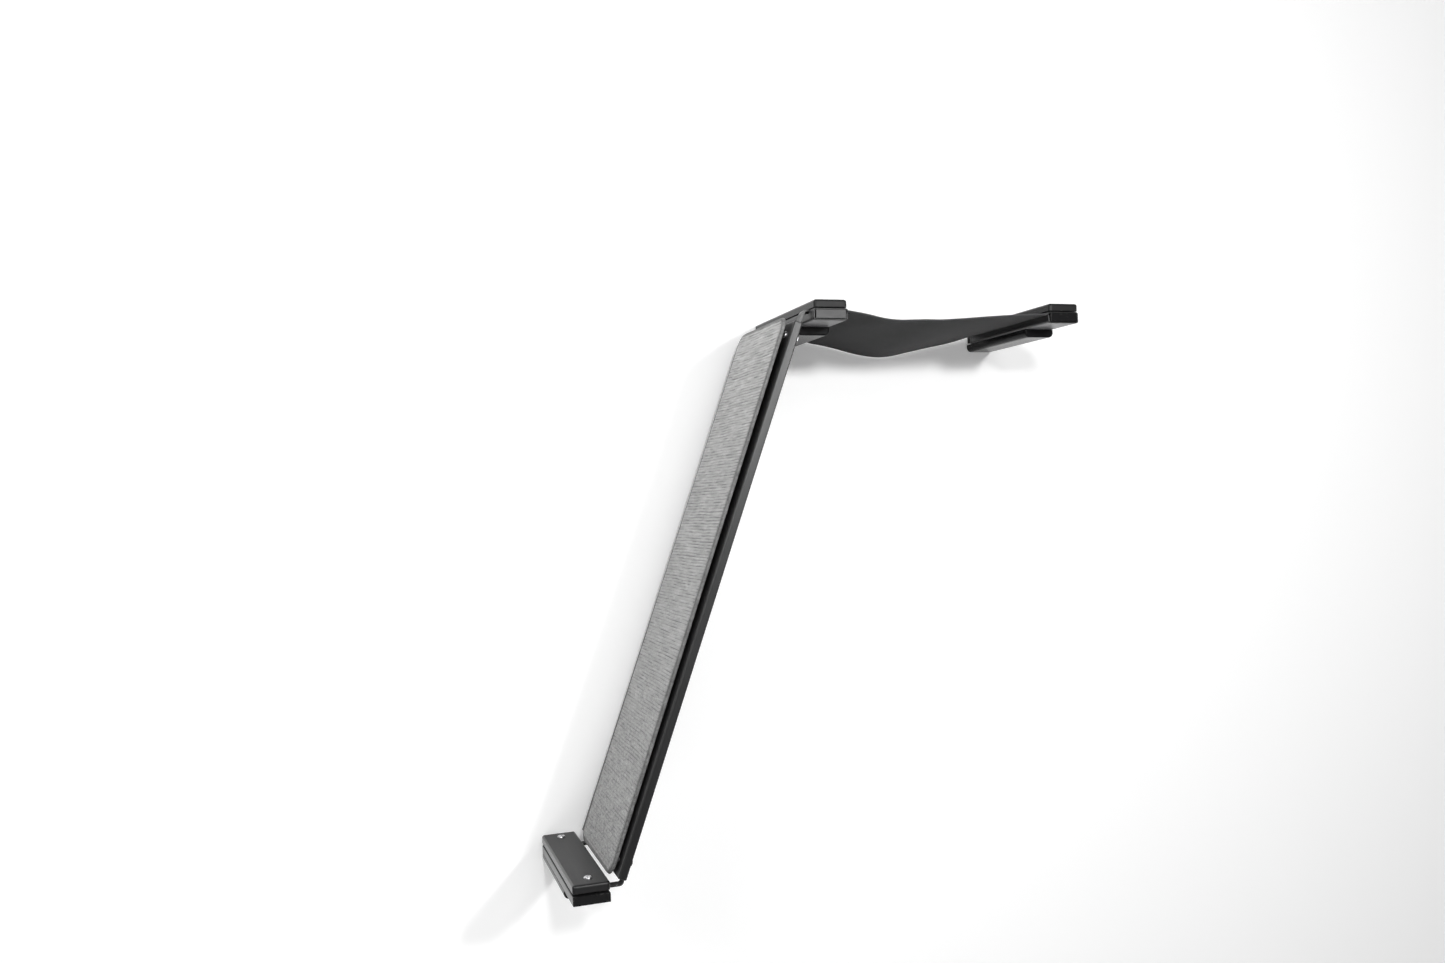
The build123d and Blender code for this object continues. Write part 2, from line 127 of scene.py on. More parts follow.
def maths(tree, operation, a, b=0.0, c=0.0, clamp=False):
    node = add(tree, "ShaderNodeMath", {0: a, 1: b, 2: c}, operation=operation)
    node.use_clamp = clamp
    return node.outputs[0]


def noise(tree, vector, scale, detail=4.0, roughness=0.5, distortion=0.0):
    inputs = {"Vector": vector, "Scale": scale, "Detail": detail, "Roughness": roughness}
    inputs["Distortion"] = distortion
    return add(tree, "ShaderNodeTexNoise", inputs).outputs["Fac"]


def ramp(tree, value, *stops):
    """Maps a value through stops of (position, grey or colour)."""
    node = add(tree, "ShaderNodeValToRGB", {"Fac": value})
    elements = node.color_ramp.elements
    while len(elements) < len(stops):
        elements.new(0.5)
    for element, (place, colour) in zip(elements, stops):
        element.position = place
        element.color = rgba(colour)
    return node.outputs["Color"]


def spread(tree, value, low, high, to_low=0.0, to_high=1.0):
    inputs = {"Value": value, "From Min": low, "From Max": high, "To Min": to_low, "To Max": to_high}
    return add(tree, "ShaderNodeMapRange", inputs, clamp=True).outputs["Result"]


def mix(tree, factor, a, b):
    """Mixes two greys or colours. What is given as a socket is linked."""
    node = add(tree, "ShaderNodeMix", data_type="RGBA")
    for key, value in ((0, factor), (6, a), (7, b)):
        if isinstance(value, bpy.types.NodeSocket):
            tree.links.new(value, node.inputs[key])
        elif key == 0:
            node.inputs[key].default_value = value
        else:
            node.inputs[key].default_value = rgba(value)
    return node.outputs[2]


def bump(tree, height, strength, distance, before=None):
    inputs = {"Height": height, "Strength": strength, "Distance": distance}
    if before is not None:
        inputs["Normal"] = before
    return add(tree, "ShaderNodeBump", inputs).outputs["Normal"]


def placed(tree, origin=(0, 0, 0), turn=(0, 0, 0), scale=(1, 1, 1)):
    """Coordinates in metres in a frame with that origin and turn, then scaled."""
    coords = add(tree, "ShaderNodeTexCoord").outputs["Object"]
    inputs = {"Vector": coords, "Location": origin, "Rotation": turn}
    local = add(tree, "ShaderNodeMapping", inputs, vector_type="TEXTURE")
    return scaled(tree, local.outputs[0], scale)


def scaled(tree, vector, scale, shift=(0, 0, 0)):
    return add(tree, "ShaderNodeMapping", {"Vector": vector, "Scale": scale, "Location": shift}).outputs[0]


def new_material(name):
    material = bpy.data.materials.new(name)
    material.use_nodes = True
    tree = material.node_tree
    return material, tree, tree.nodes["Principled BSDF"]


def connect(tree, shader, **sockets):
    """Sets or links the shader's inputs, named with _ for each space."""
    for name, value in sockets.items():
        key = name.replace("_", " ")
        if isinstance(value, bpy.types.NodeSocket):
            tree.links.new(value, shader.inputs[key])
        else:
            shader.inputs[key].default_value = value


# Materials

def painted_board(
    name,
    centre,
    half,
    grain,
    turn=(0, 0, 0),
    seed=0.0,
    end_rough=0.22,
    base_rough=0.13,
    ior=1.40,
    shine=0.5,
    top_rough=0.0,
):
    """Charcoal satin paint over wood: long grain, end grain, blotches and rubbed edges."""
    material, tree, shader = new_material(name)
    local = placed(tree, centre, turn)
    stretch = [190.0, 190.0, 190.0]
    stretch[grain] = 5.0
    shift = (seed * 1.7, seed * 3.1, seed * 0.9)
    along = scaled(tree, local, stretch, shift)
    streaks = noise(tree, along, 1.0, 5.0, 0.62, 0.35)
    stretch = [42.0, 42.0, 42.0]
    stretch[grain] = 2.2
    broad = noise(tree, scaled(tree, local, stretch, shift), 1.0, 3.0, 0.55, 0.8)
    pores = noise(tree, scaled(tree, local, (900, 900, 900), shift), 1.0, 3.0, 0.6)
    blotch = noise(tree, scaled(tree, local, (14, 14, 14), shift), 1.0, 4.0, 0.6)

    # Faces across the grain: the ramp's plank is turned, so its normals are measured along the slope
    normal = add(tree, "ShaderNodeTexCoord").outputs["Normal"]
    facing = add(tree, "ShaderNodeSeparateXYZ", {0: normal})
    with_grain = facing.outputs["XYZ"[grain]]
    if turn != (0, 0, 0):
        slope = add(tree, "ShaderNodeCombineXYZ", {"X": UP.x, "Y": 0.0, "Z": UP.z}).outputs[0]
        dot = add(tree, "ShaderNodeVectorMath", {0: normal, 1: slope}, operation="DOT_PRODUCT")
        with_grain = dot.outputs["Value"]
    end = spread(tree, maths(tree, "ABSOLUTE", with_grain), 0.75, 0.95)

    # How near a point is to an edge of the board: the second smallest distance to its faces
    parts = add(tree, "ShaderNodeSeparateXYZ", {0: local})
    away = [maths(tree, "ABSOLUTE", parts.outputs[axis]) for axis in "XYZ"]
    near = [maths(tree, "SUBTRACT", size, place) for size, place in zip(half, away)]
    least = maths(tree, "MINIMUM", near[0], near[1])
    most = maths(tree, "MAXIMUM", near[0], near[1])
    second = maths(tree, "MAXIMUM", least, maths(tree, "MINIMUM", most, near[2]))
    ragged = maths(tree, "MULTIPLY_ADD", spread(tree, broad, 0.35, 0.7), 0.0022, second)
    edge = spread(tree, ragged, 0.0006, 0.0030, 1.0, 0.0)
    rubbed = maths(tree, "MULTIPLY", edge, spread(tree, streaks, 0.52, 0.66), clamp=True)

    colour = ramp(tree, streaks, (0.30, (0.0080, 0.0080, 0.0083)), (0.62, (0.0140, 0.0140, 0.0144)))
    colour = mix(tree, spread(tree, blotch, 0.35, 0.75, 0.0, 0.55), colour, (0.018, 0.018, 0.0185))
    colour = mix(tree, maths(tree, "MULTIPLY", end, 0.75), colour, (0.0075, 0.0075, 0.0078))
    colour = mix(tree, maths(tree, "MULTIPLY", rubbed, 0.5), colour, (0.085, 0.083, 0.080))
    rough = maths(tree, "MULTIPLY_ADD", broad, 0.14, base_rough)
    rough = maths(tree, "MULTIPLY_ADD", end, end_rough, rough)
    rough = maths(tree, "MULTIPLY_ADD", rubbed, 0.15, rough)
    rough = maths(tree, "MULTIPLY_ADD", spread(tree, facing.outputs["Z"], 0.9, 0.97), top_rough, rough)
    skin = bump(tree, streaks, 0.28, 0.0005)
    skin = bump(tree, pores, 0.10, 0.0003, skin)
    skin = bump(tree, blotch, 0.20, 0.0012, skin)
    connect(tree, shader, Base_Color=colour, Roughness=rough, Normal=skin, IOR=ior, Specular_IOR_Level=shine)
    return material


def coated_steel(name, least_rough=0.24, shine=0.5):
    """Black painted steel strip, rubbed bright in places."""
    material, tree, shader = new_material(name)
    local = placed(tree)
    fine = noise(tree, scaled(tree, local, (700, 700, 700)), 1.0, 3.0, 0.55)
    wear = noise(tree, scaled(tree, local, (95, 95, 95)), 1.0, 6.0, 0.68)
    worn = spread(tree, wear, 0.66, 0.72)
    colour = mix(tree, worn, ramp(tree, fine, (0.3, 0.018), (0.7, 0.030)), (0.23, 0.23, 0.235))
    rough = maths(tree, "MULTIPLY_ADD", fine, 0.12, least_rough)
    skin = bump(tree, fine, 0.22, 0.0003)
    metal = maths(tree, "MULTIPLY", worn, 0.8)
    connect(tree, shader, Base_Color=colour, Roughness=rough, Normal=skin, Metallic=metal)
    connect(tree, shader, IOR=1.5, Specular_IOR_Level=shine)
    return material


def bare_metal(name, dark, light, rough_low, rough_high, brush=(240, 240, 2400)):
    """Plated or turned metal with fine tool marks and a few dull spots."""
    material, tree, shader = new_material(name)
    local = placed(tree)
    marks = noise(tree, scaled(tree, local, brush), 1.0, 3.0, 0.6)
    dull = noise(tree, scaled(tree, local, (130, 130, 130)), 1.0, 4.0, 0.6)
    colour = mix(tree, spread(tree, dull, 0.35, 0.7), light, dark)
    rough = spread(tree, maths(tree, "MULTIPLY_ADD", marks, 0.4, dull), 0.4, 1.0, rough_low, rough_high)
    skin = bump(tree, marks, 0.10, 0.0002)
    connect(tree, shader, Base_Color=colour, Roughness=rough, Normal=skin, Metallic=1.0)
    return material


def moulded_plastic(name):
    """Black plastic with a fine moulded grain."""
    material, tree, shader = new_material(name)
    local = placed(tree)
    grain = noise(tree, scaled(tree, local, (1500, 1500, 1500)), 1.0, 2.0, 0.5)
    colour = ramp(tree, grain, (0.3, 0.012), (0.7, 0.020))
    rough = maths(tree, "MULTIPLY_ADD", grain, 0.2, 0.42)
    connect(tree, shader, Base_Color=colour, Roughness=rough, Normal=bump(tree, grain, 0.25, 0.0002))
    return material


def pressed_board(name):
    """Brown pressed fibre board."""
    material, tree, shader = new_material(name)
    local = placed(tree)
    fibres = noise(tree, scaled(tree, local, (850, 850, 850)), 1.0, 5.0, 0.7)
    clouds = noise(tree, scaled(tree, local, (60, 60, 60)), 1.0, 3.0, 0.5)
    colour = ramp(tree, fibres, (0.3, (0.115, 0.068, 0.036)), (0.7, (0.235, 0.150, 0.085)))
    colour = mix(tree, spread(tree, clouds, 0.4, 0.7, 0.0, 0.4), colour, (0.27, 0.18, 0.11))
    connect(tree, shader, Base_Color=colour, Roughness=0.78, Normal=bump(tree, fibres, 0.35, 0.0004))
    return material


def woven_cover(name):
    """Grey ribbed weave: each vertex carries its rib's height, darkened as painted shade along the creases
    and the rolled rim, and its yarn's tone.
    """
    material, tree, shader = new_material(name)
    height = add(tree, "ShaderNodeAttribute", attribute_name="rib").outputs["Fac"]
    tone = add(tree, "ShaderNodeAttribute", attribute_name="tone").outputs["Fac"]
    local = placed(tree, PANEL_MIDDLE, (0, -RAMP_ANGLE - LEAN, 0))
    fibres = noise(tree, scaled(tree, local, (2600, 420, 2600)), 1.0, 3.0, 0.65)
    twist = noise(tree, scaled(tree, local, (520, 900, 520)), 1.0, 2.0, 0.5)
    soil = noise(tree, scaled(tree, local, (9, 13, 9)), 1.0, 4.0, 0.6)
    colour = ramp(tree, height, (0.10, (0.085, 0.085, 0.085)), (0.85, (0.480, 0.480, 0.477)))
    colour = mix(tree, spread(tree, tone, 0.0, 1.0, 0.0, 0.50), colour, (0.62, 0.62, 0.615))
    colour = mix(tree, spread(tree, twist, 0.5, 0.75, 0.0, 0.40), colour, (0.24, 0.24, 0.24))
    colour = mix(tree, spread(tree, fibres, 0.55, 0.75, 0.0, 0.30), colour, (0.55, 0.55, 0.54))
    colour = mix(tree, spread(tree, soil, 0.5, 0.8, 0.0, 0.18), colour, (0.28, 0.28, 0.275))
    worn = add(tree, "ShaderNodeAttribute", attribute_name="worn").outputs["Fac"]
    slubs = noise(tree, scaled(tree, local, (300, 18, 300)), 1.0, 3.0, 0.62, 0.15)
    fuzz = noise(tree, scaled(tree, local, (190, 150, 190)), 1.0, 4.0, 0.66, 1.6)
    clumps = noise(tree, scaled(tree, local, (95, 40, 95)), 1.0, 3.0, 0.6, 0.8)
    ribbed = spread(tree, slubs, 0.38, 0.62, 0.80, 1.14)
    scratched = spread(tree, fuzz, 0.38, 0.62, 0.52, 1.12)
    lines = mix(tree, worn, ribbed, scratched)
    lines = maths(tree, "MULTIPLY", lines, spread(tree, clumps, 0.35, 0.65, 0.94, 1.06))

    # Painted light and shade along the panel: darker towards its lower end, lighter near its upper end
    along = add(tree, "ShaderNodeSeparateXYZ", {0: local}).outputs["X"]
    lines = maths(tree, "MULTIPLY", lines, spread(tree, along, -0.42, 0.10, 0.78, 0.85))
    lines = maths(tree, "MULTIPLY", lines, spread(tree, along, 0.12, 0.36, 1.0, 1.16))
    colour = add(tree, "ShaderNodeVectorMath", {0: colour, "Scale": lines}, operation="SCALE").outputs[0]
    skin = bump(tree, twist, 0.45, 0.0006)
    skin = bump(tree, fibres, 0.35, 0.0003, skin)
    connect(tree, shader, Base_Color=colour, Roughness=0.9, Normal=skin)
    connect(tree, shader, Sheen_Weight=0.15, Sheen_Roughness=0.5)
    return material


def plain_cloth(name):
    """Charcoal canvas: a plain weave over the cloth's own flat coordinates, lighter along its edges, with
    painted shade on the pockets and painted light under them.
    """
    material, tree, shader = new_material(name)
    flat = add(tree, "ShaderNodeAttribute", attribute_name="flat").outputs["Vector"]
    hem = add(tree, "ShaderNodeAttribute", attribute_name="hem").outputs["Fac"]
    tight = add(tree, "ShaderNodeAttribute", attribute_name="tight").outputs["Fac"]
    beneath = add(tree, "ShaderNodeAttribute", attribute_name="beneath").outputs["Fac"]
    parts = add(tree, "ShaderNodeSeparateXYZ", {0: flat})
    yarn_pitch = 1.3 * MM
    rate = 2 * pi / yarn_pitch
    warp = maths(tree, "SINE", maths(tree, "MULTIPLY", parts.outputs["X"], rate))
    weft = maths(tree, "SINE", maths(tree, "MULTIPLY", parts.outputs["Y"], rate))
    weave = spread(tree, maths(tree, "MULTIPLY", warp, weft), -1.0, 1.0)
    slubs = noise(tree, scaled(tree, flat, (60, 900, 1)), 1.0, 3.0, 0.6)
    slubs = maths(tree, "MAXIMUM", slubs, noise(tree, scaled(tree, flat, (900, 60, 1)), 1.0, 3.0, 0.6))
    clouds = noise(tree, scaled(tree, flat, (18, 18, 1)), 1.0, 4.0, 0.6)
    lint = noise(tree, scaled(tree, flat, (1300, 1300, 1)), 1.0, 2.0, 0.6)
    colour = ramp(tree, weave, (0.1, (0.0131, 0.0131, 0.0138)), (0.8, (0.0243, 0.0243, 0.0254)))
    colour = mix(tree, spread(tree, slubs, 0.6, 0.78, 0.0, 0.5), colour, (0.044, 0.044, 0.0455))
    colour = mix(tree, spread(tree, clouds, 0.45, 0.75, 0.0, 0.35), colour, (0.035, 0.035, 0.0365))
    colour = mix(tree, spread(tree, lint, 0.70, 0.80, 0.0, 0.5), colour, (0.08, 0.08, 0.08))
    # Lighter along the cloth's edges, except on the pockets
    lighter_edge = maths(tree, "MULTIPLY", hem, maths(tree, "MULTIPLY_ADD", tight, -0.6, 0.6))
    colour = mix(tree, lighter_edge, colour, (0.070, 0.070, 0.072))

    # Painted shade and light: the pockets are darkened well below the sling, and made much paler beneath, as
    # one view shows them
    pale = maths(tree, "MULTIPLY_ADD", beneath, 7.4, maths(tree, "MULTIPLY_ADD", tight, -0.80, 1.0))
    colour = add(tree, "ShaderNodeVectorMath", {0: colour, "Scale": pale}, operation="SCALE").outputs[0]
    loose = maths(tree, "MULTIPLY_ADD", tight, -0.8, 1.0)
    skin = bump(tree, maths(tree, "MULTIPLY", weave, loose), 0.30, 0.0003)
    skin = bump(tree, maths(tree, "MULTIPLY", slubs, loose), 0.25, 0.0004, skin)
    rough = maths(tree, "MULTIPLY_ADD", tight, -0.55, 0.92)
    connect(tree, shader, Base_Color=colour, Roughness=rough, Normal=skin)
    connect(tree, shader, Sheen_Weight=0.05, Sheen_Roughness=0.45)
    return material


def thread(name):
    """Twisted dark grey sewing thread."""
    material, tree, shader = new_material(name)
    twist = noise(tree, placed(tree, scale=(2500, 2500, 2500)), 1.0, 2.0, 0.5)
    colour = ramp(tree, twist, (0.3, 0.05), (0.7, 0.11))
    skin = bump(tree, twist, 0.3, 0.0002)
    connect(tree, shader, Base_Color=colour, Roughness=0.7, Normal=skin, Sheen_Weight=0.2)
    return material


# Meshes

def new_piece(name, vertices, faces, material, smooth=True):
    """An object at the origin, with its place in its mesh."""
    mesh = bpy.data.meshes.new(name)
    mesh.from_pydata([tuple(v) for v in vertices], [], [tuple(f) for f in faces])
    mesh.validate()
    mesh.update()
    mesh.materials.append(material)
    mesh.shade_smooth() if smooth else mesh.shade_flat()
    piece = bpy.data.objects.new(name, mesh)
    bpy.context.scene.collection.objects.link(piece)
    return piece


def attribute(piece, name, values, kind="FLOAT"):
    """Gives each vertex a value that a material reads."""
    layer = piece.data.attributes.new(name, kind, "POINT")
    key = "vector" if kind == "FLOAT_VECTOR" else "value"
    layer.data.foreach_set(key, np.asarray(values, np.float32).ravel())


def smooth_noise(a, b, seed, octaves=3):
    """Soft repeatable noise of two coordinates, about -1 to 1, from sums of sines."""
    rng = np.random.default_rng(seed)
    total = np.zeros(np.broadcast(a, b).shape)
    weight = 1.0
    for octave in range(octaves):
        for _ in range(4):
            direction = rng.uniform(0, 2 * pi)
            rate = 2.0**octave * rng.uniform(0.7, 1.3)
            phase = rng.uniform(0, 2 * pi)
            total = total + weight * np.sin(rate * (a * cos(direction) + b * sin(direction)) + phase) / 4
        weight *= 0.5
    return total


# Woven panel cover

def panel_cover(material):
    """The ribbed cover of the scratching panel: ribs across its face, rolled edges and a turned in hem."""
    length, width = PANEL_LENGTH, PANEL_WIDTH
    corner, front, back = 24 * MM, 5.6 * MM, 0.0
    shift_y = -(PANEL_WALL_GAP + width / 2)
    lift = BOARD / 2 + (LOWER_AIR_GAP + UPPER_AIR_GAP) / 2
    roll = 5.0 * MM
    pitch = 4.8 * MM
    per_rib = 8
    columns = int(round(length / pitch)) * per_rib + 1
    rows = 72
    reach = 0.75 * MM
    x = np.linspace(-length / 2 + roll, length / 2 - roll, columns)
    inner = corner - roll
    past = np.clip(np.abs(x) - (x[-1] - inner), 0, inner)
    half = width / 2 - corner + np.sqrt(np.maximum(inner**2 - past**2, 0))
    v = np.linspace(-1, 1, rows)
    grid_x = np.repeat(x[:, None], rows, 1)
    grid_y = half[:, None] * v[None, :]

    # Ribs lean and wander, their grooves deepen and fade, and scratching has blurred the lower half
    slow = smooth_noise(grid_x * 13, grid_y * 30, 11)
    quick = smooth_noise(grid_x * 160, grid_y * 110, 12, 2)
    wander = 1.3 * MM * slow + 0.15 * MM * quick
    phase = (grid_x + wander) / pitch
    rib_number = np.round(phase)
    groove = np.abs(phase - rib_number)
    rng = np.random.default_rng(7)
    first = int(rib_number.min())
    each = (rib_number - first).astype(int)
    lines = each.max() + 1
    knots = rng.uniform(0, 1, (lines, 12))
    waver = 0.35 * smooth_noise(grid_x * 60, grid_y * 0, 6, 2)
    place = np.clip((grid_y / width + 0.5) * 10 + waver, 0, 10.99)
    share = place - np.floor(place)
    share = share * share * (3 - 2 * share)
    depth = knots[each, place.astype(int)] * (1 - share) + knots[each, place.astype(int) + 1] * share
    worn = np.clip(0.15 - grid_x / length * 2.0 + 0.22 * smooth_noise(grid_x * 30, grid_y * 38, 14), 0, 1)
    depth = np.clip(0.30 + 0.85 * depth, 0, 1) * (1 - 0.25 * worn)
    rise = np.clip(groove / 0.24, 0, 1)
    rib = 1 - depth * (1 - rise * rise * (3 - 2 * rise))
    yarns = rng.uniform(0, 1, (lines, 16)) ** 1.2
    waver = 2 * smooth_noise(grid_x * 90, grid_y * 9, 5, 2)
    patch = np.clip(((grid_y / width + 0.5) * 13 + waver).astype(int), 0, 15)
    tone = yarns[each, patch]
    edge = np.minimum(half[:, None] - np.abs(grid_y), x[-1] - np.abs(grid_x))
    fade = np.clip(edge / (2.5 * MM), 0, 1)
    wall_side = np.clip(grid_y / width * 8 - 2.5, 0, 1)
    crease = np.exp(-(((edge - 1.2 * MM) / ((1.9 + 1.6 * wall_side) * MM)) ** 2))
    lift_off = reach * rib * fade + reach * 0.5 * (1 - fade) - 0.45 * MM * crease
    sway = 0.35 * MM * smooth_noise(grid_x * 25, grid_y * 30, 3, 2)
    grid_z = front - reach + lift_off + sway * fade * 0.6 - 0.12 * MM

    vertices = [np.stack([grid_x, grid_y, grid_z], 2).reshape(-1, 3)]
    # The creases along the edges are darkened as painted shade
    rib_and_shade_values = [((rib * fade + 0.5 * (1 - fade)) * (1 - 0.72 * crease)).ravel()]
    tone_values = [(tone * fade + 0.3 * (1 - fade)).ravel()]
    worn_values = [worn.ravel()]
    index = np.arange(columns * rows).reshape(columns, rows)
    quads = np.stack([index[:-1, :-1], index[1:, :-1], index[1:, 1:], index[:-1, 1:]], 2).reshape(-1, 4)
    faces = [quads]

    # Round the rim: over the front edge, down the side, under the back edge and in along the hem, each ring
    # darkened by its painted shade
    rim = np.concatenate([index[:, 0], index[-1, 1:], index[-2::-1, -1], index[0, -2:0:-1]])
    flat = vertices[0][rim]
    ahead, behind = np.roll(flat, -1, 0), np.roll(flat, 1, 0)
    run = ahead[:, :2] - behind[:, :2]
    outward = np.stack([run[:, 1], -run[:, 0]], 1)
    outward /= np.linalg.norm(outward, axis=1)[:, None]
    around = np.concatenate([[0], np.cumsum(np.linalg.norm(np.diff(flat[:, :2], axis=0), axis=1))])
    steps = []
    for turn, shade in zip(np.linspace(0, 90, 7)[1:], (0.04, 0.10, 0.14, 0.18, 0.18, 0.16)):
        a = radians(turn)
        steps.append((roll * sin(a), front - 0.5 * MM - (roll - 0.4 * MM) * (1 - cos(a)), shade))
    back_round = 1.0 * MM
    for turn in np.linspace(0, 90, 4):
        a = radians(turn)
        steps.append((roll - back_round * (1 - cos(a)), back + back_round * (1 - sin(a)), 0.45))
    for inward, height, shade in ((8, 0, 0.5), (17.5, 0, 0.5), (18, 0.5, 0.3), (18, 1.3, 0.1)):
        steps.append((roll - inward * MM, back + height * MM, shade))
    count = len(rim)
    last = rim
    start = len(vertices[0])
    base = flat.copy()
    for number, (away, height, shade) in enumerate(steps):
        ring = base.copy()
        share = min(1.0, (number + 1) / 4)
        wave = 0.3 * MM * smooth_noise(around * 45, around * 0, 9, 3) * (number > 3)
        ring[:, :2] += outward * (away - 0.2 * MM + wave)[:, None]
        ring[:, 2] = base[:, 2] * (1 - share) + height * share
        new = np.arange(start, start + count)
        vertices.append(ring)
        if number > 9:
            droop = np.clip(0.5 + smooth_noise(around * 120, around * 0, 17 + number, 3), 0, 1.4)
            ring[:, 2] -= 1.1 * MM * droop
        rib_and_shade_values.append(np.full(count, shade) + 0.12 * smooth_noise(around * 260, around * 0, 31, 3))
        tone_values.append(np.full(count, 0.2))
        worn_values.append(worn.ravel()[rim])
        faces.append(np.stack([last, new, np.roll(new, -1), np.roll(last, -1)], 1))
        last, start = new, start + count

    points = np.concatenate(vertices)
    points[:, 1] += shift_y
    points[:, 2] += lift
    across = Vector((0, 1, 0))
    world = (
        np.array(PANEL_MIDDLE)
        + points[:, :1] * np.array(PANEL_UP)
        + points[:, 1:2] * np.array(across)
        + points[:, 2:3] * np.array(PANEL_OUT)
    )
    piece = new_piece("woven_panel_cover", world, np.concatenate(faces), material)
    attribute(piece, "rib", np.clip(np.concatenate(rib_and_shade_values), 0, 1))
    attribute(piece, "tone", np.concatenate(tone_values))
    attribute(piece, "worn", np.concatenate(worn_values))
    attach(piece, "root")
    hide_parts("scratcher_cover")


# Hammock cloth

CLOTH_HALF = 1.2 * MM
LAYER_TOP = UPPER_TOP - BOARD - 1.6 * MM
LAYER_BOTTOM = -11.4 * MM
POCKET_SIDE = 26.7 * MM

# Heights of the sling's upper face along its front edge and its wall edge, in millimetres
FRONT_PROFILE = (
    (28.6, 2.9), (36, 1.7), (49, -0.3), (65, -3.4), (82, -7.2), (98, -9.6), (115, -10.5), (138, -9.7),
    (161, -8.7), (184, -8.6), (219, -6.7), (273, -2.9), (321, 0.2), (360, 2.3), (371, 2.8), (377.8, 2.9),
)
WALL_PROFILE = (
    (28.6, 2.5), (40, -0.6), (55, -4.8), (69, -8.6), (88, -12.0), (112, -17.0), (138, -23.4), (163, -28.6),
    (182, -31.3), (201, -32.3), (224, -30.4), (250, -25.2), (290, -17.0), (331, -8.8), (360, -1.8),
    (371, 1.2), (377.8, 2.5),
)

# Where the sling starts, measured from the middle of each slat
SLING_END = 28.6 * MM

# How far the middle of the sling's wall edge is drawn towards the wall, and how much lower it then lies
WALL_REACH = 9.5 * MM
WALL_DROP = 1.0 * MM

# The hems: their width, their half thickness, and the same for the seam that runs along them
HEM_WIDTH = 9.5 * MM
HEM_HALF = 1.45 * MM
SEAM_INSET = 8 * MM
SEAM_HALF = 1.05 * MM

# The openings in the pockets: half sizes for the screws and bolts, and for the straps' slots
HOLE_HALF = 4.3 * MM
SLOT_HALF = 7.2 * MM
SLOT_END = 9.8 * MM


def profile(points, x):
    """A smooth curve through the points: cubic pieces with slopes limited so that it doesn't overshoot."""
    px, pz = (np.array([p[i] for p in points]) * MM for i in (0, 1))
    h = np.diff(px)
    d = np.diff(pz) / h
    slope = np.zeros(len(px))
    slope[0], slope[-1] = d[0], d[-1]
    slope[1:-1] = (d[:-1] * h[1:] + d[1:] * h[:-1]) / (h[1:] + h[:-1])
    i = np.clip(np.searchsorted(px, x) - 1, 0, len(h) - 1)
    t = np.clip((x - px[i]) / h[i], 0, 1)
    h00, h10 = 2 * t**3 - 3 * t**2 + 1, t**3 - 2 * t**2 + t
    h01, h11 = -2 * t**3 + 3 * t**2, t**3 - t**2
    return h00 * pz[i] + h10 * h[i] * slope[i] + h01 * pz[i + 1] + h11 * h[i] * slope[i + 1]


def arc(cx, cz, r, start, end, count):
    return [(cx + r * cos(radians(a)), cz + r * sin(radians(a))) for a in np.linspace(start, end, count)]


def pocket_path():
    """The cloth's path round the left lower slat, from its end under the sling to the top's inner edge."""
    r = 2.6 * MM
    side, low, high = POCKET_SIDE, LAYER_BOTTOM, LAYER_TOP
    path = [(side + away * MM, z * MM) for away, z in ((0.9, 1.0), (0.5, -1.0), (0.1, -3.5), (0, -6))]
    path += arc(side - r, low + r, r, 0, -90, 6)
    path += [(x * MM, low) for x in (18, 12, 7.5, 4.2, 0, -4.2, -7.5, -12, -18)]
    path += arc(-side + r, low + r, r, -90, -180, 6)
    path += [(-side, z * MM) for z in (-5.5, -2, 0.4)]
    path += arc(-side + r, high - r, r, 180, 90, 6)
    path += [(x * MM, high) for x in (-18, -12, -7.5, -4.2, 0, 4.2, 7, 9.8, 14, 18, 21.5, 23.6)]
    path += [(25.2 * MM, high - 0.25 * MM), (26.9 * MM, high - 1.1 * MM)]
    return np.array(path)


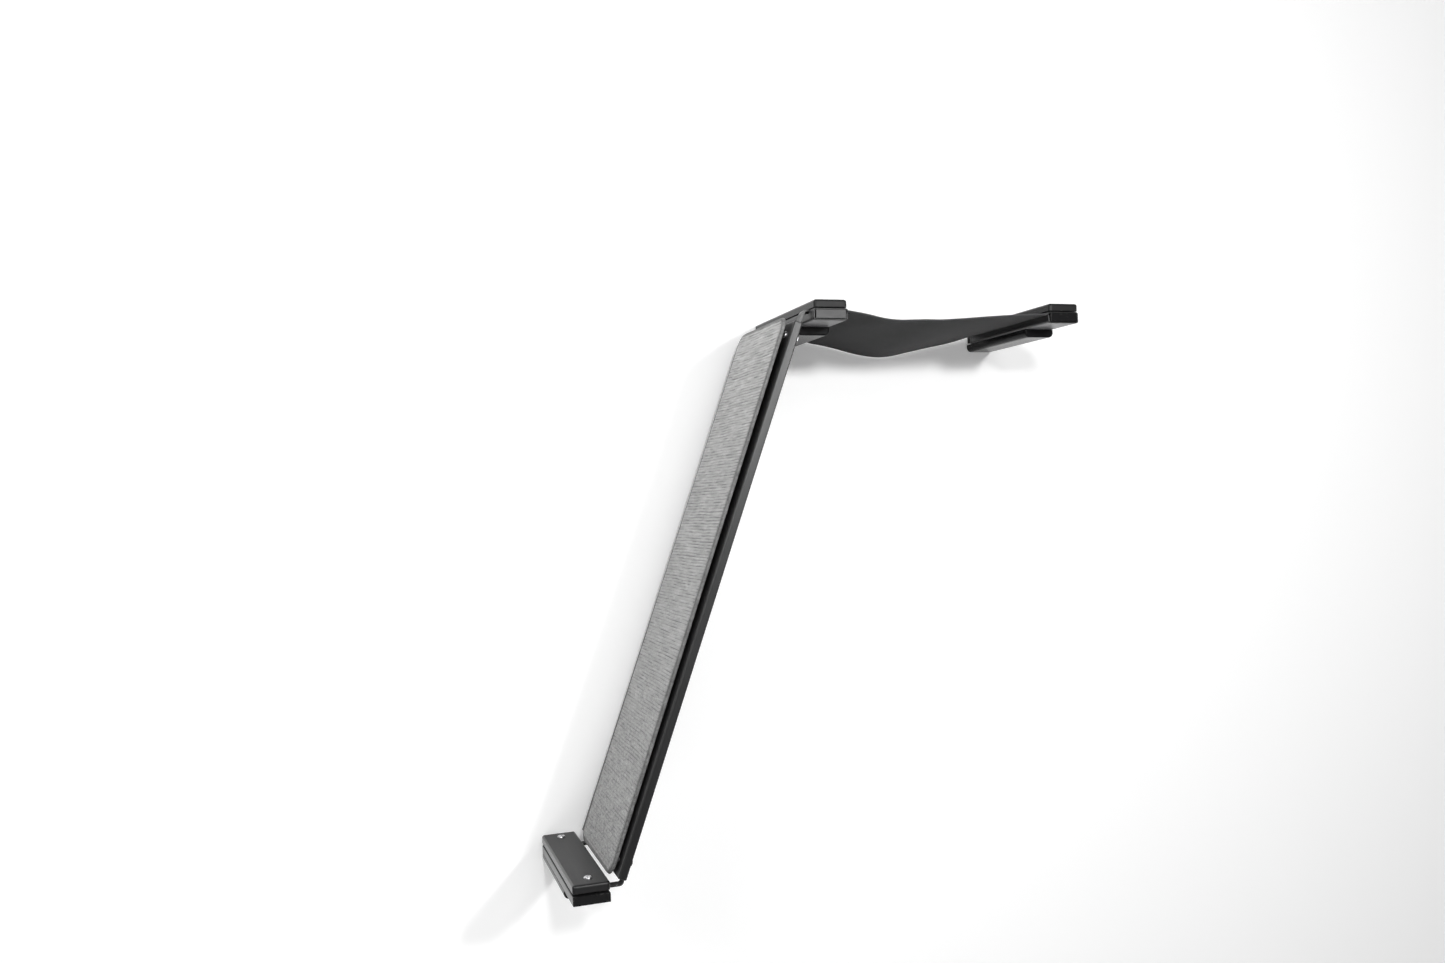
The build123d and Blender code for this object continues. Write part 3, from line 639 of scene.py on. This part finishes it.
def hammock(material, thread_material):
    """The sling and its two pockets as one closed sheet, and its stitching."""
    left = pocket_path()
    right = left[::-1].copy()
    right[:, 0] = UPPER_SPACING - right[:, 0]
    sling_x = np.linspace(SLING_END, UPPER_SPACING - SLING_END, 150)
    edges = (0, 0.25, 0.7, 1.4, 3, 5.5, 7.2, 8.0, 8.8, 11)
    ys = [CLOTH_FRONT + e * MM for e in edges] + [CLOTH_WALL - e * MM for e in edges]
    for row in BOLT_ROWS:
        ys += [row + s * MM for s in (-7.15, -4.2, 0, 4.2, 7.15)]
    for row in BLOCK_SCREW_ROWS:
        ys += [row + s * MM for s in (-4.2, 0, 4.2)]
    fill = np.arange(CLOTH_FRONT + 15 * MM, CLOTH_WALL - 13 * MM, 4.6 * MM)
    fill = [y for y in fill if min(abs(y - k) for k in ys) > 2.4 * MM]
    ys = np.array(sorted(ys + fill))
    rows = len(ys)
    t = (ys - CLOTH_FRONT) / (CLOTH_WALL - CLOTH_FRONT)
    weight = np.clip(t + 0.5 * t * (1 - t), 0, 1)
    front, wall = profile(FRONT_PROFILE, sling_x), profile(WALL_PROFILE, sling_x)
    sling_z = front[:, None] * (1 - weight) + wall[:, None] * weight - CLOTH_HALF
    gx, gy = np.meshgrid(sling_x, ys, indexing="ij")
    ends = np.clip(np.minimum(gx - sling_x[0], sling_x[-1] - gx) / (60 * MM), 0, 1)
    tension = smooth_noise(gx * 9, gy * 75, 21, 2) * np.exp(-2.2 * ends) * np.clip(ends * 12, 0, 1)
    slack = smooth_noise(gx * 22, gy * 16, 4, 2) * ends
    sling_z = sling_z + 0.9 * MM * tension + 0.7 * MM * slack
    grid = []
    for x, z in left:
        grid.append(np.stack([np.full(rows, x), ys, np.full(rows, z)], 1))
    for i in range(len(sling_x)):
        grid.append(np.stack([np.full(rows, sling_x[i]), ys, sling_z[i]], 1))
    for x, z in right:
        grid.append(np.stack([np.full(rows, x), ys, np.full(rows, z)], 1))
    grid = np.array(grid)
    columns = len(grid)
    count = len(left)
    loose = np.zeros(columns)
    loose[count:-count] = np.clip(np.minimum(sling_x - sling_x[0], sling_x[-1] - sling_x) / (45 * MM), 0, 1)
    loose = loose * loose * (3 - 2 * loose)
    near_wall = np.clip((ys + 80 * MM) / (CLOTH_WALL + 80 * MM), 0, 1) ** 2
    grid[:, :, 1] += WALL_REACH * loose[:, None] * near_wall[None, :]
    grid[:, :, 2] -= WALL_DROP * loose[:, None] * near_wall[None, :]

    # Surface directions, then the two faces of the cloth with rolled and doubled hems
    along = np.gradient(grid, axis=0)
    side = np.gradient(grid, axis=1)
    normal = np.cross(side, along)
    normal /= np.linalg.norm(normal, axis=2)[:, :, None]
    from_edge = np.minimum(ys - CLOTH_FRONT, CLOTH_WALL - ys)
    thick = CLOTH_HALF * np.ones(rows)
    thick[from_edge < HEM_WIDTH] = HEM_HALF
    thick[np.abs(from_edge - SEAM_INSET) < 0.3 * MM] = SEAM_HALF
    round_in = np.clip(from_edge / (1.4 * MM), 0, 1)
    thick *= np.sqrt(1 - (1 - round_in) ** 2) * 0.72 + 0.28
    in_sling = np.zeros(columns)
    in_sling[count:-count] = 1
    thickness = np.where(in_sling[:, None] > 0, thick[None, :], np.minimum(thick, CLOTH_HALF)[None, :])
    for c in (count, columns - count - 1):
        thickness[c] = np.minimum(thickness[c], CLOTH_HALF)
    over = grid + normal * thickness[:, :, None]
    under = grid - normal * thickness[:, :, None]

    # Openings: for the straps in the left pocket, and for the bolts and block screws
    cell = np.ones((columns - 1, rows - 1), bool)
    mid_x = (grid[:-1, 0, 0] + grid[1:, 0, 0]) / 2
    mid_z = (grid[:-1, 0, 2] + grid[1:, 0, 2]) / 2
    mid_y = (ys[:-1] + ys[1:]) / 2
    for row in BOLT_ROWS:
        near = np.abs(mid_y - row) < SLOT_HALF
        slot = (mid_x < SLOT_END) & (mid_z > 0.4 * MM)
        cell[np.ix_(slot, near)] = False
        near = np.abs(mid_y - row) < HOLE_HALF
        for x in (0, UPPER_SPACING):
            cell[np.ix_((np.abs(mid_x - x) < HOLE_HALF) & (mid_z > 0), near)] = False
    for row in BLOCK_SCREW_ROWS:
        near = np.abs(mid_y - row) < HOLE_HALF
        for x in (0, UPPER_SPACING):
            cell[np.ix_((np.abs(mid_x - x) < HOLE_HALF) & (mid_z < 0), near)] = False

    top = np.arange(columns * rows).reshape(columns, rows)
    low = top + columns * rows
    faces = []
    for i in range(columns - 1):
        for j in range(rows - 1):
            if not cell[i, j]:
                continue
            faces.append((top[i, j], top[i, j + 1], top[i + 1, j + 1], top[i + 1, j]))
            faces.append((low[i, j], low[i + 1, j], low[i + 1, j + 1], low[i, j + 1]))
            for present, a, b in (
                (i > 0 and cell[i - 1, j], (i, j), (i, j + 1)),
                (i < columns - 2 and cell[i + 1, j], (i + 1, j + 1), (i + 1, j)),
                (j > 0 and cell[i, j - 1], (i + 1, j), (i, j)),
                (j < rows - 2 and cell[i, j + 1], (i, j + 1), (i + 1, j + 1)),
            ):
                if not present:
                    faces.append((top[b], top[a], low[a], low[b]))
    points = np.concatenate([over.reshape(-1, 3), under.reshape(-1, 3)])
    piece = new_piece("hammock_cloth", points, faces, material)
    run = np.concatenate([[0], np.cumsum(np.linalg.norm(np.diff(grid[:, rows // 2], axis=0), axis=1))])
    lengthwise, crosswise = np.repeat(run[:, None], rows, 1), np.repeat(ys[None], columns, 0)
    flat = np.stack([lengthwise, crosswise, np.zeros((columns, rows))], 2)
    attribute(piece, "flat", np.concatenate([flat.reshape(-1, 3)] * 2), "FLOAT_VECTOR")
    hem = np.repeat((from_edge < 1.5 * MM)[None], columns, 0).astype(float)
    attribute(piece, "hem", np.concatenate([hem.ravel()] * 2))
    # The pockets: smoother canvas, darkened there as painted shade
    tight = np.repeat((1 - in_sling)[:, None], rows, 1)
    attribute(piece, "tight", np.concatenate([tight.ravel()] * 2))
    # The pockets' undersides, made paler as painted light
    beneath = np.clip(1 - (grid[:, :, 2] - LAYER_BOTTOM) / (1.2 * MM), 0, 1) * (1 - in_sling)[:, None]
    beneath *= np.clip((from_edge - 3 * MM) / (2 * MM), 0, 1)[None, :]
    attribute(piece, "beneath", np.concatenate([beneath.ravel()] * 2))
    used = {k for f in faces for k in f}
    drop_loose(piece, used)
    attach(piece, "root")
    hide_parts("hammock_fabric")

    # Rows of stitches on both faces: one along each hem and two beside each pocket
    beads = []
    hem_rows = [int(np.argmin(np.abs(ys - y))) for y in (CLOTH_FRONT + SEAM_INSET, CLOTH_WALL - SEAM_INSET)]
    sling = slice(count + 2, columns - count - 2)
    inner = slice(4, rows - 4)
    for face, sign in ((over, 1), (under, -1)):
        for j in hem_rows:
            beads += stitches(face[sling, j], normal[sling, j] * sign)
        for c in (count + 1, count + 3, columns - count - 2, columns - count - 4):
            beads += stitches(face[c, inner], normal[c, inner] * sign)
    sewing = bead_mesh("hammock_stitching", beads, thread_material)
    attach(sewing, "root")


def drop_loose(piece, used):
    """Deletes the vertices that no face uses."""
    mesh = bmesh.new()
    mesh.from_mesh(piece.data)
    mesh.verts.ensure_lookup_table()
    loose = [v for v in mesh.verts if v.index not in used]
    bmesh.ops.delete(mesh, geom=loose, context="VERTS")
    mesh.to_mesh(piece.data)
    mesh.free()


def stitches(line, normals, pitch=4.4 * MM, length=3.2 * MM):
    """Places along a line of (middle, direction, normal, length)."""
    run = np.concatenate([[0], np.cumsum(np.linalg.norm(np.diff(line, axis=0), axis=1))])
    places = []
    for s in np.arange(pitch / 2, run[-1] - length / 2, pitch):
        a, b, m = (
            np.array([np.interp(q, run, line[:, k]) for k in range(3)])
            for q in (s - length / 2, s + length / 2, s)
        )
        n = np.array([np.interp(s, run, normals[:, k]) for k in range(3)])
        places.append((m, (b - a) / np.linalg.norm(b - a), n / np.linalg.norm(n), length))
    return places


def bead_mesh(name, beads, material, radius=0.42 * MM):
    """One mesh of small rounded thread pieces, each lying half sunk on its surface."""
    rings = ((-0.5, 0.25), (-0.42, 0.75), (-0.2, 1.0), (0.2, 1.0), (0.42, 0.75), (0.5, 0.25))
    sides = 8
    vertices, faces = [], []
    for middle, direction, normal, length in beads:
        across = np.cross(direction, normal)
        first = len(vertices)
        for share, size in rings:
            for k in range(sides):
                a = 2 * pi * k / sides
                offset = across * cos(a) * radius * size + normal * sin(a) * radius * size * 0.8
                vertices.append(middle + direction * share * length + normal * 0.12 * MM + offset)
        for ring in range(len(rings) - 1):
            for k in range(sides):
                a, b = first + ring * sides + k, first + ring * sides + (k + 1) % sides
                faces.append((a, b, b + sides, a + sides))
        faces.append(tuple(first + k for k in reversed(range(sides))))
        faces.append(tuple(first + (len(rings) - 1) * sides + k for k in range(sides)))
    return new_piece(name, vertices, faces, material)


# Stage and light

WHITE = (1, 1, 1, 1)

# How strongly the world lights the object. Seen by the camera or through something, it is white.
WORLD_LIGHT = 0.13

# Each lamp's name, place, aim, size, power and kind, in metres and watts
MIDDLE = (0.0, 0.0, -0.35)
LAMPS = (
    ("right_key", (0.90, -2.8, 0.45), MIDDLE, 0.28, 33, "key"),
    ("left_key", (-0.5, -2.85, 0.47), MIDDLE, 0.28, 26, "key"),
    ("front_fill", (0.2, -2.9, -0.6), (0.1, 0.0, -0.3), 1.5, 11, "key"),
    ("low_fill", (-1.0, -1.2, -1.45), (-0.4, 0.0, -0.9), 0.6, 3.4, "key"),
    ("right_card", (0.90, -2.8, 0.45), MIDDLE, 1.05, 40, "card"),
    ("left_card", (-0.5, -2.85, 0.47), MIDDLE, 0.9, 28, "card"),
    ("high_soft", (0.2, -2.8, 1.3), (0.0, 0.0, -0.3), 1.0, 10, "lamp"),
    ("side_soft", (-1.9, -1.5, 0.7), (-0.2, -0.1, -0.25), 1.3, 18, "lamp"),
    ("middle_card", (0.22, -2.8, 0.42), MIDDLE, 0.95, 15, "card"),
    ("low_left_card", (-1.6, -2.75, -0.4), (-0.2, 0.0, -0.35), 1.5, 11, "card"),
    ("low_right_card", (0.66, -2.8, -0.5), MIDDLE, 1.0, 1.5, "card"),
)


def one_sided(tree, surface):
    """Shows a plane only to what looks at its front."""
    back = add(tree, "ShaderNodeNewGeometry").outputs["Backfacing"]
    clear = add(tree, "ShaderNodeBsdfTransparent").outputs[0]
    choice = add(tree, "ShaderNodeMixShader", {0: back, 1: surface, 2: clear})
    tree.links.new(choice.outputs[0], tree.nodes["Material Output"].inputs["Surface"])


def stage_material(name, colour, lift):
    """A matt pale surface. Its own faint light is for the camera, reflections and see-through things."""
    material, tree, shader = new_material(name)
    speck = noise(tree, placed(tree, scale=(120, 120, 120)), 1.0, 3.0, 0.5)
    tint = ramp(tree, speck, (0.3, colour * 0.985), (0.7, colour))
    connect(tree, shader, Base_Color=tint, Roughness=0.95, Specular_IOR_Level=0.1)
    rays = add(tree, "ShaderNodeLightPath")
    seen = maths(tree, "MAXIMUM", rays.outputs["Is Camera Ray"], rays.outputs["Is Glossy Ray"])
    seen = maths(tree, "MAXIMUM", seen, rays.outputs["Is Transmission Ray"])
    strength = maths(tree, "MULTIPLY", seen, lift)
    glow = add(tree, "ShaderNodeEmission", {"Color": WHITE, "Strength": strength})
    both = add(tree, "ShaderNodeAddShader", {0: shader.outputs[0], 1: glow.outputs[0]})
    one_sided(tree, both.outputs[0])
    return material


def make_stage():
    """A white wall just behind the object."""
    y, wide, low, high = 1.5 * MM, 6.0, -4.0, 5.0
    corners = [(-wide, y, low), (wide, y, low), (wide, y, high), (-wide, y, high)]
    paint = stage_material("white_wall", colour=0.95, lift=0.15)
    wall = new_piece("wall", corners, [(0, 1, 2, 3)], paint, smooth=False)
    wall.visible_shadow = False


def area_light(name, place, aim, size, power, kind):
    """A round lamp. A card shows in reflections only, and a key lights matt surfaces only."""
    data = bpy.data.lights.new(name, "AREA")
    data.shape = "DISK"
    data.size = size
    data.energy = power
    light = bpy.data.objects.new(name, data)
    light.location = place
    light.rotation_mode = "QUATERNION"
    light.rotation_quaternion = (Vector(aim) - Vector(place)).to_track_quat("-Z", "Y")
    light.visible_diffuse = kind != "card"
    light.visible_glossy = kind != "key"
    bpy.context.scene.collection.objects.link(light)


def make_light():
    """The lamps, and a faint even light from the world."""
    for lamp in LAMPS:
        area_light(*lamp)
    world = bpy.data.worlds.new("studio")
    world.use_nodes = True
    tree = world.node_tree
    background = tree.nodes["Background"]
    rays = add(tree, "ShaderNodeLightPath")
    seen = maths(tree, "MAXIMUM", rays.outputs["Is Camera Ray"], rays.outputs["Is Transmission Ray"])
    strength = maths(tree, "MULTIPLY_ADD", seen, 1 - WORLD_LIGHT, WORLD_LIGHT)
    tree.links.new(strength, background.inputs["Strength"])
    background.inputs["Color"].default_value = WHITE
    bpy.context.scene.world = world


# Pieces

# How much rougher each board's ends are, and the board's specular level. Both follow one view of it.
BOARD_FINISH = {
    "upper_left_top_slat": (0.25, 0.28),
    "upper_left_lower_slat": (0.16, 0.5),
    "upper_left_support_block": (0.25, 0.14),
    "upper_right_top_slat": (0.25, 0.28),
    "upper_right_lower_slat": (0.05, 0.14),
    "upper_right_support_block": (0.25, 0.14),
    "step_top_slat": (0.25, 0.5),
    "step_lower_slat": (0.05, 0.5),
    "step_support_block": (0.25, 0.14),
}

# How much rougher the boards' upper faces are, and how far apart their patterns are taken
TOP_ROUGH = 0.25
SEED_STEP = 2.3


def paint_boards():
    """Gives every board of the brackets, and the ramp's plank, its own painted finish."""
    for number, (name, (rough, shine)) in enumerate(BOARD_FINISH.items()):
        low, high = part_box(name)
        centre, half = (low + high) / 2, (high - low) / 2
        look = {"seed": number * SEED_STEP, "end_rough": rough, "shine": shine, "top_rough": TOP_ROUGH}
        finish(name, painted_board(name + "_paint", centre, half, 1, **look))
    half = (PLANK_LENGTH / 2, BOARD_DEPTH / 2, BOARD / 2)
    middle = RAMP_MIDDLE + Vector((0, -BOARD_DEPTH / 2, 0))
    look = {"turn": (0, -RAMP_ANGLE, 0), "seed": 31.0, "base_rough": 0.25, "ior": 1.43}
    finish("ramp_plank", painted_board("ramp_plank_paint", middle, half, 0, **look))


def finish(name, material):
    """Puts one material on a CAD node."""
    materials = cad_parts[name].data.materials
    materials.clear()
    materials.append(material)


def finish_hardware():
    """Gives the straps, fasteners, spacers and hidden pieces their metals and plastics."""
    bright = bare_metal("bright_steel", (0.46, 0.46, 0.47), (0.72, 0.72, 0.73), 0.18, 0.38)
    zinc = bare_metal("zinc_steel", (0.38, 0.39, 0.40), (0.60, 0.61, 0.62), 0.30, 0.55, (300, 2400, 300))
    brass = bare_metal("turned_brass", (0.52, 0.36, 0.14), (0.74, 0.55, 0.25), 0.22, 0.42)
    # Darker copies of the bright steel: painted shade on the same hardware
    dull = bare_metal("shaded_dark_steel", (0.045, 0.045, 0.047), (0.10, 0.10, 0.105), 0.32, 0.55)
    plated = bare_metal("shaded_plated_steel", (0.15, 0.15, 0.155), (0.30, 0.30, 0.31), 0.25, 0.45)
    black = coated_steel("black_steel", 0.28, 0.4)
    matt_black = coated_steel("matt_black_steel", 0.45, 0.3)
    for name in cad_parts:
        if name.endswith("_strap"):
            finish(name, matt_black if name.startswith("lower") else black)
        elif name.endswith("_wall_angle"):
            finish(name, zinc)
        elif name.endswith("_inserts"):
            finish(name, brass)
        # Painted shade: the lower strap's bolts, nuts and washers and the upper strap's washers get the
        # darkest steel, and the upper strap's nuts a darker steel than the bolts
        elif name.startswith("lower_strap") or name == "upper_strap_washers":
            finish(name, dull)
        elif name == "upper_strap_nuts":
            finish(name, plated)
        elif name.endswith(("_bolts", "_nuts", "_washers", "_screws")):
            finish(name, bright)
    finish("panel_spacers", moulded_plastic("black_nylon"))
    finish("scratcher_board", pressed_board("pressed_board"))


make_camera()
make_stage()
make_light()
paint_boards()
finish_hardware()
panel_cover(woven_cover("grey_weave"))
hammock(plain_cloth("charcoal_canvas"), thread("grey_thread"))
bpy.context.scene.view_settings.view_transform = "Standard"
